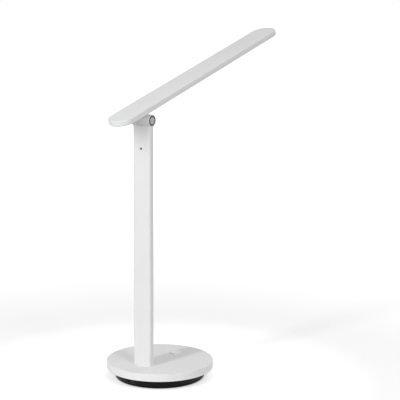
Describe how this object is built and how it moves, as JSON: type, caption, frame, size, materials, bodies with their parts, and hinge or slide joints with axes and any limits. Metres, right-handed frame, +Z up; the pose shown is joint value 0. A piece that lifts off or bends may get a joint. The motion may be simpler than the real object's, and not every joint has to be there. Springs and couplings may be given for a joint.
{
  "type": "folding led desk lamp",
  "caption": "Folding LED desk lamp: slim straight strip-light head with rounded ends on a friction hinge, flat upright column, round weighted base with push button and charging port.",
  "frame": {"origin": "centre of the foot pad's underside, on the table", "axes": "+Z up, -Y towards the front where the head reaches out over the button, +X across the lamp along the hinge axis"},
  "size_m": [0.12, 0.3051, 0.3874],
  "materials": {
    "white_shell": "satin moulded white with a fine even grain",
    "button_white": "smooth white, slightly glossier than the cover",
    "black_shell": "fine-textured black",
    "foot_rubber": "matt dark rubber",
    "plain_steel": "bare rolled steel",
    "screw_steel": "zinc-plated",
    "black_steel": "black oxide",
    "socket_steel": "stainless sheet",
    "block_aluminium": "sawn and milled",
    "cap_aluminium": "satin grey",
    "board_aluminium": "white solder resist on an aluminium core",
    "bush_brass": "turned",
    "battery_wrap": "shrink film",
    "grey_foam": "soft adhesive foam",
    "board_green": "green solder resist",
    "chip_black": "moulded black",
    "connector_nylon": "natural nylon",
    "lead_sheath": "flexible sheath",
    "opal_panel": "opal acrylic, satin underside",
    "reflector_white": "bright white film",
    "led_phosphor": "yellow phosphor window"
  },
  "bodies": {
    "stand": {"base_cover": "white_shell", "base_tray": "black_shell", "foot_pad": "foot_rubber", "ballast_plate": "plain_steel", "base_screws": "screw_steel", "battery_foam_pad": "grey_foam", "battery_pack": "battery_wrap", "control_board": "board_green", "board_parts": "chip_black", "board_screws": "screw_steel", "tact_switch": "chip_black", "board_connectors": "connector_nylon", "charge_board": "board_green", "charge_socket": "socket_steel", "charge_screws": "screw_steel", "base_leads": "lead_sheath", "column_shell": "white_shell", "column_block": "block_aluminium", "column_screws": "screw_steel", "column_lead": "lead_sheath", "lead_clamp": "chip_black", "grub_screw": "black_steel", "hinge_cap_left": "black_shell", "hinge_cap_right": "black_shell", "cap_disc_left": "cap_aluminium", "cap_disc_right": "cap_aluminium"},
    "button": {"button_cap": "button_white", "switch_plunger": "chip_black"},
    "head": {"hinge_knuckle": "white_shell", "friction_pin": "plain_steel", "disc_springs": "screw_steel", "thrust_washer": "bush_brass", "friction_nut": "screw_steel", "lead_bush": "bush_brass", "knuckle_screws": "screw_steel", "head_cover": "white_shell", "head_frame": "white_shell", "diffuser": "opal_panel", "reflector": "reflector_white", "led_board": "board_aluminium", "led_chips": "led_phosphor", "led_screws": "screw_steel", "led_connector": "connector_nylon", "head_lead": "lead_sheath"}
  },
  "joints": [
    {"name": "head_tilt", "type": "hinge", "parent": "stand", "child": "head", "pos_m": [0, 0.0294, 0.292], "axis": [-1, 0, 0], "range_deg": [-107, 73]},
    {"name": "button_press", "type": "slide", "parent": "stand", "child": "button", "axis": [0, 0, -1], "range_m": [0, 0.0005], "stiffness_N_per_m": 1500, "springref_m": -0.0003}
  ]
}
